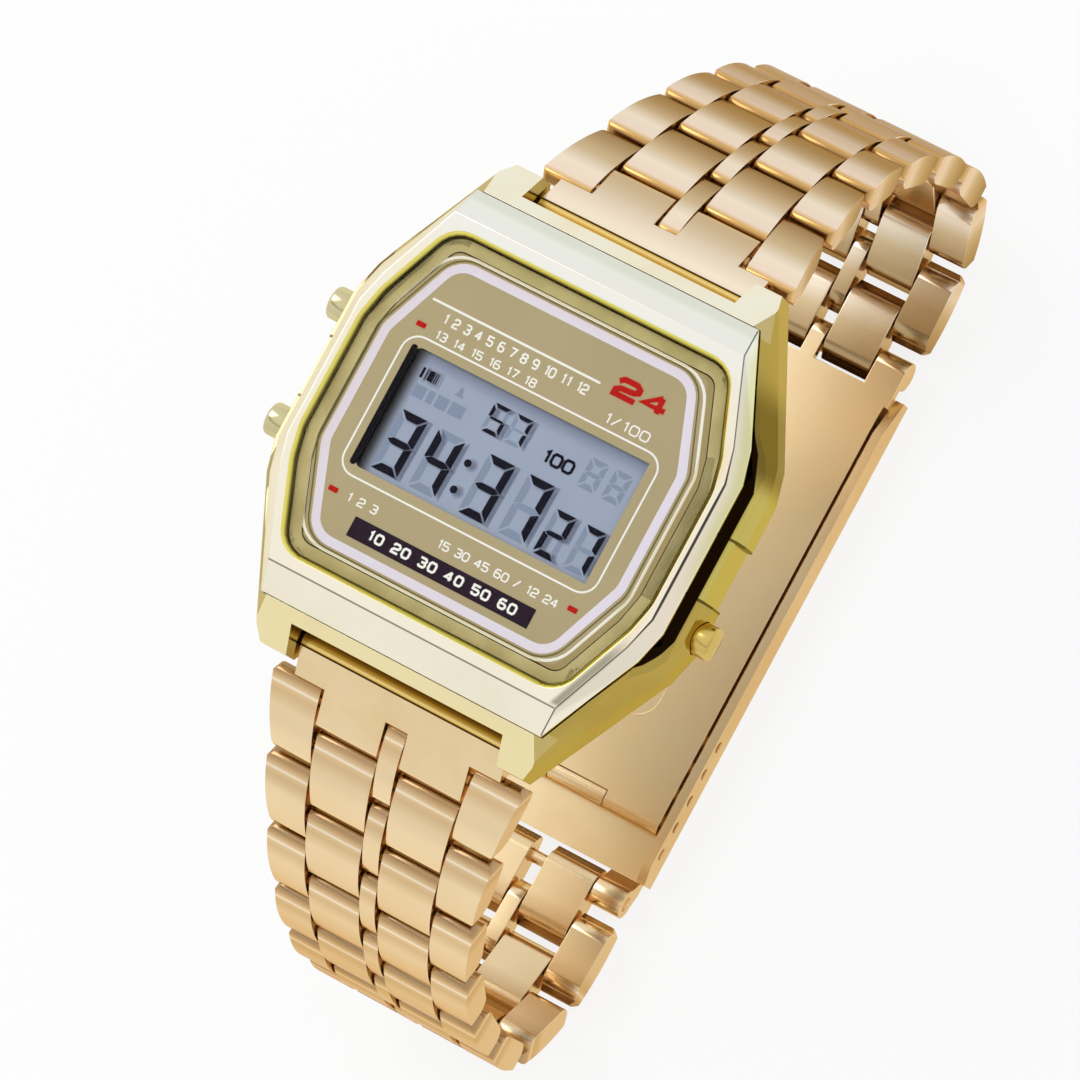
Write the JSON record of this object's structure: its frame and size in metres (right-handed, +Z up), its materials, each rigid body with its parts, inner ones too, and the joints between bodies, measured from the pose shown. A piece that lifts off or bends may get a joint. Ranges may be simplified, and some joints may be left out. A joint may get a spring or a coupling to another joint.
{
  "type": "digital wristwatch",
  "caption": "Rectangular-faced digital wristwatch in gold-coloured metal with pressable buttons and a folding link bracelet, closed and standing on its clasp.",
  "frame": {"origin": "middle of the bounding box, on the flat underside of the closed clasp that the watch stands on", "axes": "+Z up through the middle of the dial, +Y towards 12 o'clock, +X towards 3 o'clock"},
  "size_m": [0.0356, 0.073, 0.0517],
  "materials": {
    "case_gold": "gold-coloured metal coating on resin, polished",
    "bezel_gold": "pale gold-coloured metal coating on resin, polished",
    "strap_gold": "gold-plated stainless steel, satin outside and polished edges",
    "crystal_clear": "clear moulded crystal",
    "seal_rubber": "black moulded seal",
    "dial_print": "khaki gold printed plate",
    "display": "blue-grey liquid-crystal cell",
    "contact_rubber": "striped conductive rubber",
    "frame_resin": "off-white moulding",
    "board_green": "green solder mask",
    "cell_steel": "nickel-plated steel can",
    "clip_brass": "gilt spring sheet",
    "back_steel": "circular-brushed stainless steel",
    "spring_steel": "bright drawn wire"
  },
  "bodies": {
    "watch_case": {"case_body": "case_gold", "bezel": "bezel_gold", "crystal": "crystal_clear", "crystal_gasket": "seal_rubber", "dial_plate": "dial_print", "display_glass": "display", "contact_strips": "contact_rubber", "module_frame": "frame_resin", "circuit_board": "board_green", "battery": "cell_steel", "battery_clip": "clip_brass", "buzzer_disc": "clip_brass", "case_back": "back_steel", "back_gasket": "seal_rubber", "back_screws": "back_steel", "spring_light": "spring_steel", "spring_mode": "spring_steel", "spring_start": "spring_steel", "button_seals": "seal_rubber", "strap_bars": "spring_steel"},
    "button_light": {"button_light": "case_gold"},
    "button_mode": {"button_mode": "case_gold"},
    "button_start": {"button_start": "case_gold"},
    "upper_end_link": {"upper_end_link": "strap_gold"},
    "upper_link_1": {"upper_link_1": "strap_gold"},
    "upper_link_2": {"upper_link_2": "strap_gold"},
    "upper_link_3": {"upper_link_3": "strap_gold"},
    "upper_link_4": {"upper_link_4": "strap_gold"},
    "upper_link_5": {"upper_link_5": "strap_gold"},
    "upper_link_6": {"upper_link_6": "strap_gold"},
    "upper_link_7": {"upper_link_7": "strap_gold"},
    "upper_link_8": {"upper_link_8": "strap_gold"},
    "upper_link_9": {"upper_link_9": "strap_gold"},
    "upper_link_10": {"upper_link_10": "strap_gold"},
    "upper_link_11": {"upper_link_11": "strap_gold"},
    "upper_link_12": {"upper_link_12": "strap_gold"},
    "upper_link_13": {"upper_link_13": "strap_gold"},
    "upper_link_14": {"upper_link_14": "strap_gold"},
    "upper_link_15": {"upper_link_15": "strap_gold"},
    "upper_link_16": {"upper_link_16": "strap_gold"},
    "clasp_inner_blade": {"clasp_inner_blade": "strap_gold"},
    "lower_end_link": {"lower_end_link": "strap_gold"},
    "lower_link_1": {"lower_link_1": "strap_gold"},
    "lower_link_2": {"lower_link_2": "strap_gold"},
    "lower_link_3": {"lower_link_3": "strap_gold"},
    "lower_link_4": {"lower_link_4": "strap_gold"},
    "lower_link_5": {"lower_link_5": "strap_gold"},
    "lower_link_6": {"lower_link_6": "strap_gold"},
    "lower_link_7": {"lower_link_7": "strap_gold"},
    "lower_link_8": {"lower_link_8": "strap_gold"},
    "lower_link_9": {"lower_link_9": "strap_gold"},
    "lower_link_10": {"lower_link_10": "strap_gold"},
    "lower_link_11": {"lower_link_11": "strap_gold"},
    "lower_link_12": {"lower_link_12": "strap_gold"},
    "lower_link_13": {"lower_link_13": "strap_gold"},
    "lower_link_14": {"lower_link_14": "strap_gold"},
    "lower_link_15": {"lower_link_15": "strap_gold"},
    "lower_link_16": {"lower_link_16": "strap_gold"},
    "clasp_outer_blade": {"clasp_outer_blade": "strap_gold"},
    "clasp_cover": {"clasp_cover": "strap_gold"}
  },
  "joints": [
    {"name": "upper_strap_opens", "type": "hinge", "parent": "watch_case", "child": "upper_end_link", "pos_m": [0, 0.0165, 0.04509], "axis": [1, 0, 0], "range_deg": [0, 37]},
    {"name": "upper_hinge_1", "type": "hinge", "parent": "upper_end_link", "child": "upper_link_1", "pos_m": [0, 0.01985, 0.04257], "axis": [1, 0, 0], "range_deg": [0, 3]},
    {"name": "upper_hinge_2", "type": "hinge", "parent": "upper_link_1", "child": "upper_link_2", "pos_m": [0, 0.0225, 0.04035], "axis": [1, 0, 0], "range_deg": [0, 5]},
    {"name": "upper_hinge_3", "type": "hinge", "parent": "upper_link_2", "child": "upper_link_3", "pos_m": [0, 0.02494, 0.03791], "axis": [1, 0, 0], "range_deg": [0, 5]},
    {"name": "upper_hinge_4", "type": "hinge", "parent": "upper_link_3", "child": "upper_link_4", "pos_m": [0, 0.02715, 0.03527], "axis": [1, 0, 0], "range_deg": [0, 5]},
    {"name": "upper_hinge_5", "type": "hinge", "parent": "upper_link_4", "child": "upper_link_5", "pos_m": [0, 0.02913, 0.03244], "axis": [1, 0, 0], "range_deg": [0, 5]},
    {"name": "upper_hinge_6", "type": "hinge", "parent": "upper_link_5", "child": "upper_link_6", "pos_m": [0, 0.03086, 0.02945], "axis": [1, 0, 0], "range_deg": [0, 5]},
    {"name": "upper_hinge_7", "type": "hinge", "parent": "upper_link_6", "child": "upper_link_7", "pos_m": [0, 0.03232, 0.02633], "axis": [1, 0, 0], "range_deg": [0, 5]},
    {"name": "upper_hinge_8", "type": "hinge", "parent": "upper_link_7", "child": "upper_link_8", "pos_m": [0, 0.0335, 0.02308], "axis": [1, 0, 0], "range_deg": [0, 5]},
    {"name": "upper_hinge_9", "type": "hinge", "parent": "upper_link_8", "child": "upper_link_9", "pos_m": [0, 0.03439, 0.01975], "axis": [1, 0, 0], "range_deg": [0, 5]},
    {"name": "upper_hinge_10", "type": "hinge", "parent": "upper_link_9", "child": "upper_link_10", "pos_m": [0, 0.03499, 0.01635], "axis": [1, 0, 0], "range_deg": [0, 5]},
    {"name": "upper_hinge_11", "type": "hinge", "parent": "upper_link_10", "child": "upper_link_11", "pos_m": [0, 0.03529, 0.01292], "axis": [1, 0, 0], "range_deg": [0, 5]},
    {"name": "upper_hinge_12", "type": "hinge", "parent": "upper_link_11", "child": "upper_link_12", "pos_m": [0, 0.03529, 0.00947], "axis": [1, 0, 0], "range_deg": [0, 21]},
    {"name": "upper_hinge_13", "type": "hinge", "parent": "upper_link_12", "child": "upper_link_13", "pos_m": [0, 0.03405, 0.00625], "axis": [1, 0, 0], "range_deg": [0, 21]},
    {"name": "upper_hinge_14", "type": "hinge", "parent": "upper_link_13", "child": "upper_link_14", "pos_m": [0, 0.03174, 0.00368], "axis": [1, 0, 0], "range_deg": [0, 21]},
    {"name": "upper_hinge_15", "type": "hinge", "parent": "upper_link_14", "child": "upper_link_15", "pos_m": [0, 0.02867, 0.00212], "axis": [1, 0, 0], "range_deg": [0, 21]},
    {"name": "upper_hinge_16", "type": "hinge", "parent": "upper_link_15", "child": "upper_link_16", "pos_m": [0, 0.02524, 0.00176], "axis": [1, 0, 0], "range_deg": [0, 3]},
    {"name": "clasp_end_hinge", "type": "hinge", "parent": "upper_link_16", "child": "clasp_inner_blade", "pos_m": [0, 0.02179, 0.00158], "axis": [1, 0, 0], "range_deg": [0, 3]},
    {"name": "lower_strap_opens", "type": "hinge", "parent": "watch_case", "child": "lower_end_link", "pos_m": [0, -0.0165, 0.04509], "axis": [-1, 0, 0], "range_deg": [0, 37]},
    {"name": "lower_hinge_1", "type": "hinge", "parent": "lower_end_link", "child": "lower_link_1", "pos_m": [0, -0.01985, 0.04257], "axis": [-1, 0, 0], "range_deg": [0, 3]},
    {"name": "lower_hinge_2", "type": "hinge", "parent": "lower_link_1", "child": "lower_link_2", "pos_m": [0, -0.0225, 0.04035], "axis": [-1, 0, 0], "range_deg": [0, 5]},
    {"name": "lower_hinge_3", "type": "hinge", "parent": "lower_link_2", "child": "lower_link_3", "pos_m": [0, -0.02494, 0.03791], "axis": [-1, 0, 0], "range_deg": [0, 5]},
    {"name": "lower_hinge_4", "type": "hinge", "parent": "lower_link_3", "child": "lower_link_4", "pos_m": [0, -0.02715, 0.03527], "axis": [-1, 0, 0], "range_deg": [0, 5]},
    {"name": "lower_hinge_5", "type": "hinge", "parent": "lower_link_4", "child": "lower_link_5", "pos_m": [0, -0.02913, 0.03244], "axis": [-1, 0, 0], "range_deg": [0, 5]},
    {"name": "lower_hinge_6", "type": "hinge", "parent": "lower_link_5", "child": "lower_link_6", "pos_m": [0, -0.03086, 0.02945], "axis": [-1, 0, 0], "range_deg": [0, 5]},
    {"name": "lower_hinge_7", "type": "hinge", "parent": "lower_link_6", "child": "lower_link_7", "pos_m": [0, -0.03232, 0.02633], "axis": [-1, 0, 0], "range_deg": [0, 5]},
    {"name": "lower_hinge_8", "type": "hinge", "parent": "lower_link_7", "child": "lower_link_8", "pos_m": [0, -0.0335, 0.02308], "axis": [-1, 0, 0], "range_deg": [0, 5]},
    {"name": "lower_hinge_9", "type": "hinge", "parent": "lower_link_8", "child": "lower_link_9", "pos_m": [0, -0.03439, 0.01975], "axis": [-1, 0, 0], "range_deg": [0, 5]},
    {"name": "lower_hinge_10", "type": "hinge", "parent": "lower_link_9", "child": "lower_link_10", "pos_m": [0, -0.03499, 0.01635], "axis": [-1, 0, 0], "range_deg": [0, 5]},
    {"name": "lower_hinge_11", "type": "hinge", "parent": "lower_link_10", "child": "lower_link_11", "pos_m": [0, -0.03529, 0.01292], "axis": [-1, 0, 0], "range_deg": [0, 5]},
    {"name": "lower_hinge_12", "type": "hinge", "parent": "lower_link_11", "child": "lower_link_12", "pos_m": [0, -0.03529, 0.00947], "axis": [-1, 0, 0], "range_deg": [0, 21]},
    {"name": "lower_hinge_13", "type": "hinge", "parent": "lower_link_12", "child": "lower_link_13", "pos_m": [0, -0.03405, 0.00625], "axis": [-1, 0, 0], "range_deg": [0, 21]},
    {"name": "lower_hinge_14", "type": "hinge", "parent": "lower_link_13", "child": "lower_link_14", "pos_m": [0, -0.03174, 0.00368], "axis": [-1, 0, 0], "range_deg": [0, 21]},
    {"name": "lower_hinge_15", "type": "hinge", "parent": "lower_link_14", "child": "lower_link_15", "pos_m": [0, -0.02867, 0.00212], "axis": [-1, 0, 0], "range_deg": [0, 21]},
    {"name": "lower_hinge_16", "type": "hinge", "parent": "lower_link_15", "child": "lower_link_16", "pos_m": [0, -0.02524, 0.00176], "axis": [-1, 0, 0], "range_deg": [0, 3]},
    {"name": "clasp_opens", "type": "hinge", "parent": "clasp_inner_blade", "child": "clasp_outer_blade", "pos_m": [0, -0.0155, 0.00183], "axis": [-1, 0, 0], "range_deg": [0, 80]},
    {"name": "clasp_cover_hinge", "type": "hinge", "parent": "clasp_outer_blade", "child": "clasp_cover", "pos_m": [0, 0.0155, 0.00088], "axis": [1, 0, 0], "range_deg": [0, 80.01]},
    {"name": "light_press", "type": "slide", "parent": "watch_case", "child": "button_light", "axis": [1, 0, 0], "range_m": [0, 0.0008], "stiffness_N_per_m": 1500, "deforming": ["spring_light"]},
    {"name": "mode_press", "type": "slide", "parent": "watch_case", "child": "button_mode", "axis": [1, 0, 0], "range_m": [0, 0.0008], "stiffness_N_per_m": 1500, "deforming": ["spring_mode"]},
    {"name": "start_press", "type": "slide", "parent": "watch_case", "child": "button_start", "axis": [-1, 0, 0], "range_m": [0, 0.0008], "stiffness_N_per_m": 1500, "deforming": ["spring_start"]}
  ],
  "couplings": [
    {"joint": "clasp_cover_hinge", "follows": "clasp_opens", "ratio": 1}
  ]
}
